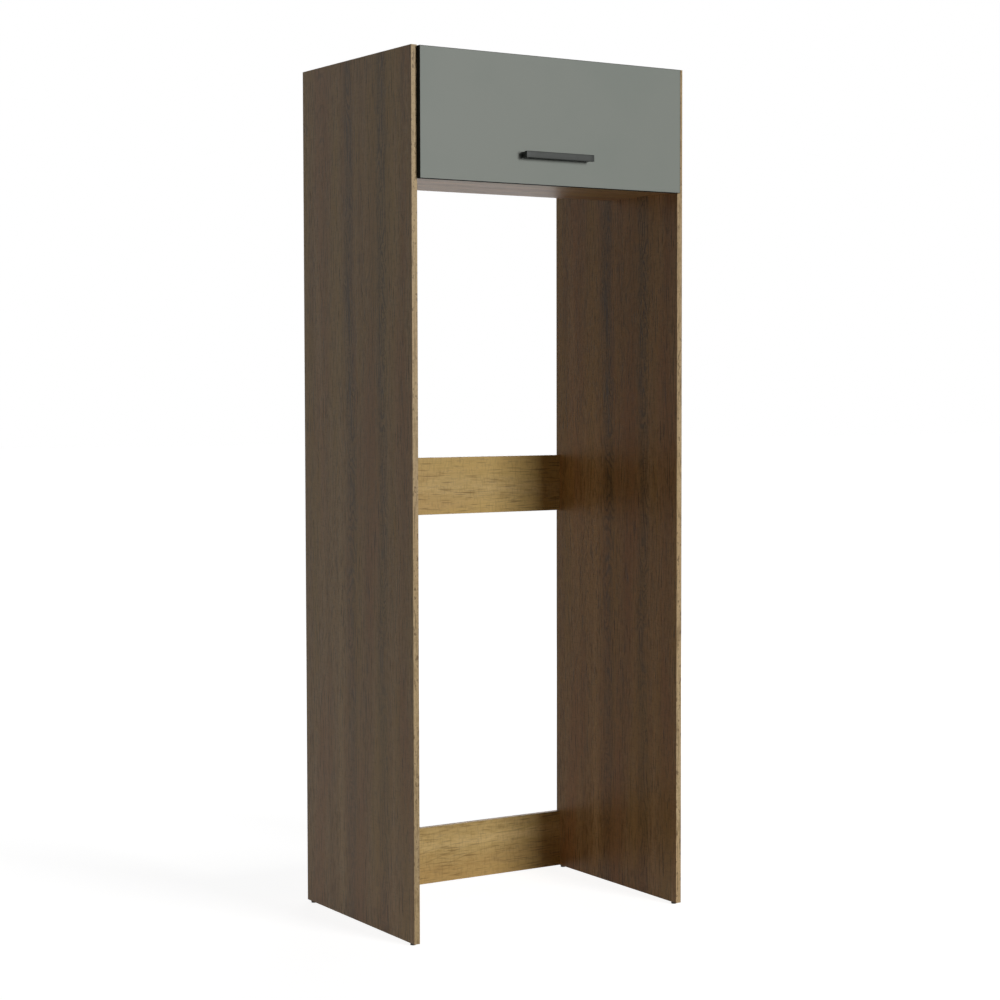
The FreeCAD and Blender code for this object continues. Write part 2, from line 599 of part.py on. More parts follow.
def handle():
    """Bar handle on two legs, screwed from the door's back; returns the screw bores in the door."""
    z = DOOR_BOTTOM + HANDLE_ABOVE_EDGE
    half = HANDLE_LENGTH / 2
    front = DOOR_FRONT - HANDLE_PROJECTION
    bar = box(-half, half, front, front + HANDLE_BAR_T, z - HANDLE_BAR_H / 2, z + HANDLE_BAR_H / 2)
    bar = bar.makeFillet(HANDLE_ROUND, bar.Edges)
    leg_half = HANDLE_BAR_H / 2 - HANDLE_ROUND
    legs, screws, door_bores, leg_bores = [], [], [], []
    for sign in (-1, 1):
        leg = box(sign * (half - HANDLE_LEG_W), sign * half, front + HANDLE_BAR_T / 2, DOOR_FRONT,
                  z - leg_half, z + leg_half)
        legs.append(leg.makeFillet(HANDLE_ROUND, [e for e in leg.Edges if near(e.CenterOfMass.y,
                                   (front + HANDLE_BAR_T / 2 + DOOR_FRONT) / 2)]))
        axis_point = V(sign * (half - HANDLE_LEG_W / 2), DOOR_BACK, z)
        length = PANEL_T + HANDLE_SCREW_GRIP
        head = rod(axis_point, Y_AXIS, SCREW_HEAD_R, SCREW_HEAD_H)
        head = head.makeFillet(SCREW_HEAD_H / 2, [e for e in head.Edges if near(e.CenterOfMass.y,
                                                                               DOOR_BACK + SCREW_HEAD_H)])
        screws.append(head.fuse(rod(axis_point, -Y_AXIS, HANDLE_SCREW_R, length)))
        bore = rod(axis_point, -Y_AXIS, HANDLE_SCREW_R + FIT, length)
        door_bores.append(bore)
        leg_bores.append(bore)
    export("handle", bar.fuse(legs).cut(leg_bores))
    export("handle_screws", screws)
    return door_bores


def door():
    """Door panel, its edge bands and bumpers."""
    bores = hinge_cups() + strut_door_brackets() + handle()
    core = box(-DOOR_HALF + BAND_T, DOOR_HALF - BAND_T, DOOR_FRONT, DOOR_BACK,
               DOOR_BOTTOM + BAND_T, DOOR_TOP - BAND_T)
    export("door_panel", core.cut(bores))
    bands = []
    for z0, z1, outer in ((DOOR_BOTTOM, DOOR_BOTTOM + BAND_T, DOOR_BOTTOM),
                          (DOOR_TOP - BAND_T, DOOR_TOP, DOOR_TOP)):
        band = box(-DOOR_HALF, DOOR_HALF, DOOR_FRONT, DOOR_BACK, z0, z1)
        bands.append(soften(band, EDGE_ROUND, lambda p, z=outer: near(p.z, z)))
    for sign in (-1, 1):
        edge = sign * DOOR_HALF
        band = box(edge - sign * BAND_T, edge, DOOR_FRONT, DOOR_BACK, DOOR_BOTTOM + BAND_T, DOOR_TOP - BAND_T)
        middle = (DOOR_BOTTOM + DOOR_TOP) / 2
        bands.append(soften(band, EDGE_ROUND, lambda p, x=edge: near(p.x, x) and near(p.z, middle)))
    export("door_edge_bands", bands)
    bumpers = []
    for sign in (-1, 1):
        seat = V(sign * (DOOR_HALF - BUMPER_INSET), DOOR_BACK, FLOOR_UNDER + PANEL_T / 2)
        pad = rod(seat, Y_AXIS, BUMPER_R, DOOR_GAP - BUMPER_ROOM)
        rim = [e for e in pad.Edges if near(e.CenterOfMass.y, SHELF_FRONT - BUMPER_ROOM)]
        bumpers.append(pad.makeFillet((DOOR_GAP - BUMPER_ROOM) / 2, rim))
    export("door_bumpers", bumpers)


def main():
    """Build and write every node."""
    side_tools = {-1: [], 1: []}
    feet(side_tools)
    wall_angles(side_tools)
    strut_side_brackets(side_tools)
    plate_bores = hinge_plates()
    hinge_arms()
    carcass_panels(Joinery(), plate_bores, side_tools)
    struts()
    door()
    shut = math.hypot(SIDE_STUD[0] - DOOR_STUD[0], SIDE_STUD[1] - DOOR_STUD[1])
    turn = math.radians(OPEN_ANGLE)
    dy, dz = DOOR_STUD[0] - PIN_Y, DOOR_STUD[1] - PIN_Z
    open_y = PIN_Y + dy * math.cos(turn) + dz * math.sin(turn)
    open_z = PIN_Z - dy * math.sin(turn) + dz * math.cos(turn)
    wide = math.hypot(open_y - SIDE_STUD[0], open_z - SIDE_STUD[1])
    swing = (math.atan2(open_z - SIDE_STUD[1], open_y - SIDE_STUD[0])
             - math.atan2(DOOR_STUD[1] - SIDE_STUD[1], DOOR_STUD[0] - SIDE_STUD[0]))
    print("fridge bay %.1f high, %.1f wide" % (NICHE_HEIGHT, 2 * INNER))
    print("hinge axis y %.3f z %.3f" % (PIN_Y, PIN_Z))
    print("side stud y %.3f z %.3f, door stud y %.3f z %.3f" % (SIDE_STUD + DOOR_STUD))
    print("strut %.3f shut, %.3f open, swing %.4f degrees" % (shut, wide, math.degrees(swing)))


main()
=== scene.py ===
"""Looks of the fridge housing cabinet: its finishes, the modelled fittings, the stage and the camera.

Metres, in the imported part's frame: +Z up, +X to the right of someone facing the door, -Y out of the door.
"""
import logging
import math
from abc import ABC, abstractmethod
from dataclasses import dataclass, field, replace
from enum import Enum
from typing import Callable, ClassVar, Iterable, Mapping, Optional, Sequence, Union

import bmesh
import bpy
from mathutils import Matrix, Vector

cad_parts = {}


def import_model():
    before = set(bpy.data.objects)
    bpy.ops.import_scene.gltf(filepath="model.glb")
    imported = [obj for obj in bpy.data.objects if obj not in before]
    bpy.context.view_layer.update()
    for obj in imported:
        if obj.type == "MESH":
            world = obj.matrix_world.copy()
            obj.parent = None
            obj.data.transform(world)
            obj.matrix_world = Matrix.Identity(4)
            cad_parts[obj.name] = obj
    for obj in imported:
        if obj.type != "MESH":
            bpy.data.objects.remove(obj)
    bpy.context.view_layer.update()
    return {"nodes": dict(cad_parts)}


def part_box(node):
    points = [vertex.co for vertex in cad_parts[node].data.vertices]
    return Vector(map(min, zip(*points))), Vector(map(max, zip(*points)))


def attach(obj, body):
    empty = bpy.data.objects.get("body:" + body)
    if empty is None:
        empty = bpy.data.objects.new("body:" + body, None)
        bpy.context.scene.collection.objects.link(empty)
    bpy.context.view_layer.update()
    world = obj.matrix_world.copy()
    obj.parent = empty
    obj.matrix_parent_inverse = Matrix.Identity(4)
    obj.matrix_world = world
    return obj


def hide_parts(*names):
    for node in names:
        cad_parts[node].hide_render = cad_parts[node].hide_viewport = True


LOG = logging.getLogger("fridge_housing")
MM = 0.001
IMAGE_SIDE = 1000.0  # pixels of the photograph
WHITE = (1.0, 1.0, 1.0, 1.0)
NOISE_SPAN = (0.3, 0.7)  # most of a noise lies between these levels
SHIFT_WAY = (1.0, 1.7, 0.6)  # way in which a layer of noise is shifted
LINE_CORE = 0.2  # share of a printed line's half width at full strength
FACING = 0.99  # least part of a face's normal along the axis that it looks along
UPRIGHT = 0.1  # largest upward part of an upright face's normal

Socket = bpy.types.NodeSocket
Value = Union[float, Sequence[float], Socket]
Colour = tuple[int, int, int]


class Axis(Enum):
    """Axis of the part's frame, as an index into a coordinate."""

    X = 0
    Y = 1
    Z = 2

    @property
    def way(self) -> Vector:
        """Unit vector along the axis."""
        return Vector([float(index == self.value) for index in range(3)])


class Side(Enum):
    """Side of the cabinet, by the sign of its X."""

    LEFT = -1
    RIGHT = 1

    @property
    def word(self) -> str:
        """Name that the nodes of this side start with."""
        return self.name.lower()


def linear(colour: Colour) -> tuple[float, float, float, float]:
    """Turn a screen colour into what a shader socket takes.

    Args:
        colour: Red, green and blue from 0 to 255 as seen on a screen.

    Returns:
        Linear red, green, blue and a full alpha.
    """
    parts = []
    for level in colour:
        share = level / 255.0
        parts.append(share / 12.92 if share <= 0.04045 else ((share + 0.055) / 1.055) ** 2.4)
    return parts[0], parts[1], parts[2], 1.0


@dataclass(frozen=True)
class Layer:
    """Layer of noise on a print.

    Attributes:
        across: Features per metre across the grain.
        along: Features per metre along the grain.
        shift: Offset that makes one layer differ from another.
        detail: Number of octaves.
        roughness: Weight of the finer octaves.
        distortion: How far the pattern is pulled about.
    """

    across: float
    along: float
    shift: float = 0.0
    detail: float = 2.0
    roughness: float = 0.5
    distortion: float = 0.0


@dataclass(frozen=True)
class Marks:
    """Marks where a layer is high: they start at one level, are full at another, and show by a share."""

    layer: Layer
    start: float
    full: float
    share: float = 1.0


@dataclass(frozen=True)
class Contours:
    """Level lines of a layer, like growth rings: their number over its range and their half width."""

    layer: Layer
    density: float
    width: float


class NodeSheet:
    """Node tree of a world or a material, with short calls that add nodes and join them."""

    def __init__(self, tree: bpy.types.NodeTree) -> None:
        """Empty the tree that is to be filled."""
        self.tree = tree
        self.tree.nodes.clear()

    def add(self, kind: str, sockets: Mapping[Union[str, int], Value],
            **settings: object) -> bpy.types.Node:
        """Add a node.

        Args:
            kind: Blender's type name of the node.
            sockets: Inputs by name or index, each a value or the socket that feeds it.
            **settings: Properties of the node.

        Returns:
            The new node.
        """
        node = self.tree.nodes.new(kind)
        for key, setting in settings.items():
            setattr(node, key, setting)
        for key, value in sockets.items():
            if isinstance(value, Socket):
                self.tree.links.new(value, node.inputs[key])
            else:
                node.inputs[key].default_value = value
        return node

    def math(self, operation: str, first: Value, second: Value = 0.0) -> Socket:
        """Join two numbers by the named operation."""
        return self.add("ShaderNodeMath", {0: first, 1: second}, operation=operation).outputs[0]

    def seen_rays(self) -> Socket:
        """Pick the rays that show the surroundings to the eye, straight or through gloss and glass.

        Returns:
            Socket that is 1 for those rays.
        """
        path = self.add("ShaderNodeLightPath", {}).outputs
        seen = path["Is Camera Ray"]
        for name in ("Is Glossy Ray", "Is Transmission Ray"):
            seen = self.math("MAXIMUM", seen, path[name])
        return seen


class ShaderSheet(NodeSheet):
    """Node tree of one new material."""

    def __init__(self, name: str) -> None:
        """Start an empty material.

        Args:
            name: Name of the material.
        """
        self.material = bpy.data.materials.new(name)
        self.material.use_nodes = True
        super().__init__(self.material.node_tree)
        self.places = self.add("ShaderNodeTexCoord", {})

    def print_space(self, along: Axis, face: Axis) -> Socket:
        """Give flat coordinates on a board: across the grain, nothing, along the grain.

        Args:
            along: Axis that the grain follows.
            face: Axis square to the board.

        Returns:
            Vector socket.
        """
        parts = self.add("ShaderNodeSeparateXYZ", {0: self.places.outputs["Object"]}).outputs
        across = next(axis for axis in Axis if axis not in (along, face))
        return self.add("ShaderNodeCombineXYZ", {0: parts[across.value], 2: parts[along.value]}).outputs[0]

    def grain_space(self, along: Axis) -> Socket:
        """Give the piece's own coordinates, turned so that the third runs along the grain.

        Args:
            along: Axis that the grain follows.

        Returns:
            Vector socket.
        """
        parts = self.add("ShaderNodeSeparateXYZ", {0: self.places.outputs["Object"]}).outputs
        order = [(along.value + step) % 3 for step in (1, 2, 0)]
        joined = self.add("ShaderNodeCombineXYZ", {spot: parts[axis] for spot, axis in enumerate(order)})
        return joined.outputs[0]

    def layer(self, place: Socket, layer: Layer) -> Socket:
        """Lay a layer of noise.

        Args:
            place: Coordinates whose third runs along the grain.
            layer: The layer.

        Returns:
            Socket of its value, near 0.5 on average.
        """
        moved = self.add("ShaderNodeMapping", {
            "Vector": place,
            "Scale": (layer.across, layer.across, layer.along),
            "Location": tuple(layer.shift * part for part in SHIFT_WAY)})
        made = self.add("ShaderNodeTexNoise", {
            "Vector": moved.outputs[0],
            "Scale": 1.0,
            "Detail": layer.detail,
            "Roughness": layer.roughness,
            "Distortion": layer.distortion})
        return made.outputs[0]

    def marks(self, place: Socket, marks: Marks, share: float = 1.0) -> Socket:
        """Print marks where their layer is high, by a further share."""
        return self.step(self.layer(place, marks.layer), marks.start, marks.full, 0.0, marks.share * share)

    def contours(self, place: Socket, contours: Contours) -> Socket:
        """Draw the level lines of a layer: 1 on a line and 0 beside it."""
        heights = self.math("MULTIPLY", self.layer(place, contours.layer), contours.density)
        return self.step(self.math("PINGPONG", heights, 0.5), contours.width, LINE_CORE * contours.width)

    def weighted(self, layers: Iterable[tuple[Socket, float]]) -> Socket:
        """Add up layers by weight.

        Args:
            layers: Pairs of a number's socket and its weight.

        Returns:
            Socket of the sum.
        """
        total: Value = 0.0
        for layer, weight in layers:
            joined = self.add("ShaderNodeMath", {0: layer, 1: weight, 2: total}, operation="MULTIPLY_ADD")
            total = joined.outputs[0]
        return total

    def step(self, number: Socket, low: float, high: float,
             to_low: float = 0.0, to_high: float = 1.0) -> Socket:
        """Map a stretch of numbers smoothly to another and hold it outside.

        Args:
            number: Number to map.
            low: Start of the stretch.
            high: End of the stretch.
            to_low: Result up to low.
            to_high: Result from high on.

        Returns:
            Socket of the result.
        """
        made = self.add("ShaderNodeMapRange", {0: number, 1: low, 2: high, 3: to_low, 4: to_high},
                        interpolation_type="SMOOTHSTEP")
        return made.outputs[0]

    def ramp(self, number: Socket, stops: Sequence[tuple[float, Colour]]) -> Socket:
        """Turn a number into a colour.

        Args:
            number: Number from 0 to 1.
            stops: Pairs of a position and its colour, in order.

        Returns:
            Colour socket.
        """
        node = self.add("ShaderNodeValToRGB", {0: number})
        elements = node.color_ramp.elements
        while len(elements) < len(stops):
            elements.new(1.0)
        for element, (position, colour) in zip(elements, stops):
            element.position = position
            element.color = linear(colour)
        return node.outputs[0]

    def blend(self, share: Value, first: Union[Colour, Socket], second: Union[Colour, Socket]) -> Socket:
        """Mix two colours.

        Args:
            share: Share of the second colour.
            first: Colour at share 0.
            second: Colour at share 1.

        Returns:
            Colour socket.
        """
        pair = [tone if isinstance(tone, Socket) else linear(tone) for tone in (first, second)]
        return self.add("ShaderNodeMix", {0: share, 6: pair[0], 7: pair[1]}, data_type="RGBA").outputs[2]

    def finish(self, sockets: Mapping[str, Value]) -> bpy.types.Material:
        """Close the tree with one surface shader.

        Args:
            sockets: Inputs of the surface shader by name.

        Returns:
            The finished material.
        """
        surface = self.add("ShaderNodeBsdfPrincipled", sockets)
        self.add("ShaderNodeOutputMaterial", {0: surface.outputs[0]})
        return self.material


@dataclass(frozen=True)
class Finish(ABC):
    """Surface of a kind of piece; name is also the slot of the record.

    In each kind, SPREAD is how far the roughness falls and rises, and RELIEF the depth of the relief and
    the share of it that shows.
    """

    name: str

    SPREAD: ClassVar[tuple[float, float]]
    RELIEF: ClassVar[tuple[float, float]]

    @abstractmethod
    def paint(self, title: str) -> bpy.types.Material:
        """Make the material.

        Args:
            title: Name of the material.

        Returns:
            The material.
        """

    def _skin(self, sheet: ShaderSheet, roughness: float, wear: Socket,
              height: Socket) -> dict[str, Socket]:
        """Give the surface its gloss and its relief.

        Args:
            sheet: Tree to add to.
            roughness: Middle roughness.
            wear: Noise that the roughness follows.
            height: Height of the relief, from 0 to 1.

        Returns:
            Sockets of the roughness and the normal, by their names on the surface shader.
        """
        less, more = self.SPREAD
        depth, share = self.RELIEF
        bump = sheet.add("ShaderNodeBump", {"Height": height, "Distance": depth, "Strength": share})
        return {"Roughness": sheet.step(wear, *NOISE_SPAN, roughness - less, roughness + more),
                "Normal": bump.outputs[0]}


@dataclass(frozen=True)
class WoodTones:
    """Colours of one wood print."""

    deep: Colour
    middle: Colour
    light: Colour
    red: Colour
    gold: Colour
    streak: Colour
    pore: Colour


@dataclass(frozen=True)
class WoodFoil(Finish):
    """Printed wood-grain foil on particle board, whose uncovered edges show the chips.

    The grain runs along one axis, and another is square to the board. Streaks are places across the grain.
    Growth, fleck, pore share and tick say how strongly each kind of mark shows.
    """

    along: Axis
    face: Axis
    tones: WoodTones
    streaks: tuple[float, ...] = ()
    growth: float = 0.40
    fleck: float = 0.30
    pore_share: float = 0.55
    tick: float = 0.14
    stroke_scale: float = 30.0  # strokes and flecks per metre along the grain
    raw_edges: bool = True

    ROUGHNESS, SPECULAR = 0.40, 0.14
    SPREAD, RELIEF = (0.05, 0.06), (0.15 * MM, 0.35)
    RELIEF_SHARES = (-0.7, 0.3)  # of pores and fibres
    FIBRES = Layer(420.0, 9.0, 7.7, 3.0, 0.6)
    PORES = Marks(Layer(330.0, 15.0, 1.9, 1.0), 0.59, 0.70)
    STROKES = Layer(130.0, 30.0, 31.3, 3.0, 0.6)
    BANDS = Layer(15.0, 0.4, 0.0, 3.0, 0.55, 0.3)
    TONE_SHARES = (0.42, 0.38, 0.20)  # of bands, strokes and fibres
    TONE_LEVELS = (0.38, 0.50, 0.62)  # of the deep, middle and light tone
    RED_PATCHES = Marks(Layer(10.0, 1.6, 11.3), 0.44, 0.66, 0.55)
    GOLD_PATCHES = Marks(Layer(12.0, 1.4, 17.9), 0.48, 0.68, 0.50)
    RINGS = Contours(Layer(8.0, 0.9, 41.3, 1.0, 0.4, 0.3), 22.0, 0.10)
    RING_PATCHES = Marks(Layer(9.0, 1.3, 53.1, 1.0), 0.46, 0.60)
    FLECK_LEVELS = (0.54, 0.68)
    TICKS = Marks(Layer(46.0, 190.0, 2.3), 0.50, 0.66)
    STREAK_HALF, WANDER = 34.0 * MM, 50.0 * MM
    DRIFT = Layer(3.0, 2.2, 23.7)
    FADE_HEIGHTS, FADED_SHARE = (0.3, 1.4), 0.5
    FLAMES = Contours(Layer(24.0, 6.0, 29.0, 1.0, 0.4, 0.3), 13.0, 0.32)
    BLOTS = Layer(60.0, 16.0, 37.0)
    SHADE_SHARES = (0.55, 0.60)  # of flames and blots
    NICKS = Marks(Layer(60.0, 150.0, 2.3), 0.52, 0.66, 0.35)
    EDGE_LEVELS = (0.45, 0.55)
    CHIPS_PER_METRE = 420.0
    DUST = Layer(900.0, 900.0, detail=3.0, roughness=0.6)
    CORE_SHARES = (0.6, 0.4)  # of chips and dust
    CHIP_TONES = ((0.15, (112, 84, 54)), (0.5, (166, 134, 92)), (0.9, (201, 175, 132)))

    def paint(self, title: str) -> bpy.types.Material:
        """Print the ground, the heart streaks and the fine marks, and bare the edges; see Finish.paint."""
        sheet = ShaderSheet(title)
        place = sheet.print_space(self.along, self.face)
        fibres = sheet.layer(place, self.FIBRES)
        pores = sheet.marks(place, self.PORES)
        colour = self._ground(sheet, place, fibres)
        if self.streaks:
            colour = self._streaked(sheet, place, colour)
        colour = sheet.blend(sheet.math("MULTIPLY", pores, self.pore_share), colour, self.tones.pore)
        if self.raw_edges:
            colour = self._bared(sheet, colour)
        relief = sheet.weighted(zip((pores, fibres), self.RELIEF_SHARES))
        return sheet.finish({
            "Base Color": colour,
            "Specular IOR Level": self.SPECULAR,
            **self._skin(sheet, self.ROUGHNESS, fibres, relief)})

    def _ground(self, sheet: ShaderSheet, place: Socket, fibres: Socket) -> Socket:
        """Lay the broad tones, red and golden patches, growth lines, flecks and ticks.

        Args:
            sheet: Tree to add to.
            place: Coordinates of the print.
            fibres: Fine noise along the grain.

        Returns:
            Colour socket.
        """
        tones = self.tones
        bands = sheet.layer(place, self.BANDS)
        strokes = sheet.layer(place, replace(self.STROKES, along=self.stroke_scale))
        tone = sheet.weighted(zip((bands, strokes, fibres), self.TONE_SHARES))
        colour = sheet.ramp(tone, tuple(zip(self.TONE_LEVELS, (tones.deep, tones.middle, tones.light))))
        colour = sheet.blend(sheet.marks(place, self.RED_PATCHES), colour, tones.red)
        colour = sheet.blend(sheet.marks(place, self.GOLD_PATCHES), colour, tones.gold)
        patches = sheet.marks(place, self.RING_PATCHES, self.growth)
        for dark in (sheet.math("MULTIPLY", sheet.contours(place, self.RINGS), patches),
                     sheet.step(strokes, *self.FLECK_LEVELS, 0.0, self.fleck),
                     sheet.marks(place, self.TICKS, self.tick)):
            colour = sheet.blend(dark, colour, tones.streak)
        return colour

    def _streaked(self, sheet: ShaderSheet, place: Socket, colour: Socket) -> Socket:
        """Draw the dark heart streaks, which wander, fade towards the foot and hold flame-like lines.

        Args:
            sheet: Tree to add to.
            place: Coordinates of the print.
            colour: Colour under the streaks.

        Returns:
            Colour socket.
        """
        drift = sheet.layer(place, self.DRIFT)
        across, _, height = sheet.add("ShaderNodeSeparateXYZ", {0: place}).outputs
        swayed = sheet.math("ADD", sheet.math("MULTIPLY", drift, self.WANDER), across)
        masks = []
        for centre in self.streaks:
            gap = sheet.math("ABSOLUTE", sheet.math("SUBTRACT", swayed, centre + self.WANDER / 2))
            masks.append((sheet.step(gap, self.STREAK_HALF, LINE_CORE * self.STREAK_HALF), 1.0))
        fade = sheet.step(height, *self.FADE_HEIGHTS, self.FADED_SHARE, 1.0)
        heart = sheet.math("MULTIPLY", sheet.weighted(masks), fade)
        flames = sheet.contours(place, self.FLAMES)
        blots = sheet.layer(place, self.BLOTS)
        shade = sheet.weighted(zip((flames, blots), self.SHADE_SHARES))
        colour = sheet.blend(sheet.math("MULTIPLY", heart, shade), colour, self.tones.streak)
        nicks = sheet.marks(place, self.NICKS)
        return sheet.blend(sheet.math("MULTIPLY", heart, nicks), colour, self.tones.pore)

    def _bared(self, sheet: ShaderSheet, colour: Socket) -> Socket:
        """Show the chips of the board's core on its edges.

        Args:
            sheet: Tree to add to.
            colour: Colour of the foiled faces.

        Returns:
            Colour socket.
        """
        place = sheet.places.outputs["Object"]
        flakes = sheet.add("ShaderNodeTexVoronoi",
                           {"Vector": place, "Scale": self.CHIPS_PER_METRE, "Randomness": 1.0})
        shade = sheet.add("ShaderNodeSeparateColor", {0: flakes.outputs["Color"]}).outputs[0]
        core = sheet.weighted(zip((shade, sheet.layer(place, self.DUST)), self.CORE_SHARES))
        normal = sheet.add("ShaderNodeSeparateXYZ", {0: sheet.places.outputs["Normal"]}).outputs
        foiled = sheet.step(sheet.math("ABSOLUTE", normal[self.face.value]), *self.EDGE_LEVELS)
        return sheet.blend(foiled, sheet.ramp(core, self.CHIP_TONES), colour)


@dataclass(frozen=True)
class PlainFoil(Finish):
    """Matt single-colour foil with a very fine texture."""

    tone: Colour
    cloud: Colour
    roughness: float = 0.46
    specular: float = 0.25

    SPREAD, RELIEF = (0.04, 0.04), (0.05 * MM, 0.25)
    CLOUDS = Marks(Layer(5.0, 5.0, detail=3.0), 0.35, 0.65)
    PRICKS = Layer(1400.0, 1400.0, roughness=0.6)

    def paint(self, title: str) -> bpy.types.Material:
        """Cloud the colour faintly and prick the surface; see Finish.paint."""
        sheet = ShaderSheet(title)
        place = sheet.places.outputs["Object"]
        pricks = sheet.layer(place, self.PRICKS)
        return sheet.finish({
            "Base Color": sheet.blend(sheet.marks(place, self.CLOUDS), self.tone, self.cloud),
            "Specular IOR Level": self.specular,
            **self._skin(sheet, self.roughness, pricks, pricks)})


@dataclass(frozen=True)
class Hardboard(Finish):
    """Pressed wood fibre with a smooth brown face."""

    tone: Colour
    fleck: Colour
    roughness: float = 0.6

    SPECULAR = 0.3
    SPREAD, RELIEF = (0.06, 0.06), (0.08 * MM, 0.3)
    MOTTLE, MOTTLE_SHARE = Layer(60.0, 60.0, detail=4.0, roughness=0.6), 0.45
    HAIRS = Layer(900.0, 260.0, distortion=1.5)
    HAIR_LEVELS, HAIR_SHARE = (0.58, 0.70), 0.5

    def paint(self, title: str) -> bpy.types.Material:
        """Scatter short fibres over a mottled ground; see Finish.paint."""
        sheet = ShaderSheet(title)
        place = sheet.places.outputs["Object"]
        mottle = sheet.layer(place, self.MOTTLE)
        hairs = sheet.layer(place, self.HAIRS)
        colour = sheet.blend(sheet.step(mottle, *NOISE_SPAN, 0.0, self.MOTTLE_SHARE), self.tone, self.fleck)
        colour = sheet.blend(sheet.step(hairs, *self.HAIR_LEVELS, 0.0, self.HAIR_SHARE), colour, self.fleck)
        return sheet.finish({
            "Base Color": colour,
            "Specular IOR Level": self.SPECULAR,
            **self._skin(sheet, self.roughness, mottle, hairs)})


@dataclass(frozen=True)
class CoatedMetal(Finish):
    """Metal under a satin powder coat or enamel."""

    tone: Colour
    worn: Colour
    roughness: float
    peel: float
    specular: float = 0.5
    coat: float = 0.0

    METALLIC, COAT_ROUGHNESS = 0.15, 0.12
    SPREAD, RELIEF = (0.05, 0.06), (0.06 * MM, 0.3)
    RUBBED = Layer(70.0, 70.0, detail=4.0, roughness=0.6)
    RUB_LEVELS, RUB_SHARE = (0.45, 0.75), 0.6

    def paint(self, title: str) -> bpy.types.Material:
        """Give the coat its orange peel and a slight spread of tone; see Finish.paint."""
        sheet = ShaderSheet(title)
        place = sheet.places.outputs["Object"]
        peel = sheet.layer(place, Layer(self.peel, self.peel))
        rub = sheet.layer(place, self.RUBBED)
        colour = sheet.blend(sheet.step(rub, *self.RUB_LEVELS, 0.0, self.RUB_SHARE), self.tone, self.worn)
        return sheet.finish({
            "Base Color": colour,
            "Metallic": self.METALLIC,
            "Specular IOR Level": self.specular,
            "Coat Weight": self.coat,
            "Coat Roughness": self.COAT_ROUGHNESS,
            **self._skin(sheet, self.roughness, rub, peel)})


@dataclass(frozen=True)
class PlatedSteel(Finish):
    """Zinc, nickel or chrome plating with rolling lines and faint stains."""

    tone: Colour
    stain: Colour
    roughness: float
    lines: Axis

    SPREAD, RELIEF = (0.06, 0.10), (0.03 * MM, 0.25)
    ROLLED = Layer(1500.0, 40.0, roughness=0.6)
    STAINS = Layer(90.0, 90.0, detail=3.0, roughness=0.6)
    STAIN_LEVELS, STAIN_SHARE = (0.42, 0.72), 0.5
    WEAR_SHARES = (0.6, 0.4)  # of rolling lines and stains

    def paint(self, title: str) -> bpy.types.Material:
        """Draw the rolling lines into colour, gloss and relief; see Finish.paint."""
        sheet = ShaderSheet(title)
        rolled = sheet.layer(sheet.grain_space(self.lines), self.ROLLED)
        stains = sheet.layer(sheet.places.outputs["Object"], self.STAINS)
        stained = sheet.step(stains, *self.STAIN_LEVELS, 0.0, self.STAIN_SHARE)
        wear = sheet.weighted(zip((rolled, stains), self.WEAR_SHARES))
        return sheet.finish({
            "Base Color": sheet.blend(stained, self.tone, self.stain),
            "Metallic": 1.0,
            **self._skin(sheet, self.roughness, wear, rolled)})


@dataclass(frozen=True)
class MouldedPlastic(Finish):
    """Plastic or rubber with a fine spark-eroded skin."""

    tone: Colour
    bloom: Colour
    roughness: float
    clearness: float = 0.0

    SPECULAR = 0.4
    SPREAD, RELIEF = (0.05, 0.08), (0.04 * MM, 0.35)
    GRAIN = Layer(2200.0, 2200.0, roughness=0.6)
    BLOOM = Marks(Layer(120.0, 120.0, detail=3.0), 0.4, 0.7, 0.6)

    def paint(self, title: str) -> bpy.types.Material:
        """Grain the skin and let it bloom a little; see Finish.paint."""
        sheet = ShaderSheet(title)
        place = sheet.places.outputs["Object"]
        grain = sheet.layer(place, self.GRAIN)
        return sheet.finish({
            "Base Color": sheet.blend(sheet.marks(place, self.BLOOM), self.tone, self.bloom),
            "Transmission Weight": self.clearness,
            "Specular IOR Level": self.SPECULAR,
            **self._skin(sheet, self.roughness, grain, grain)})


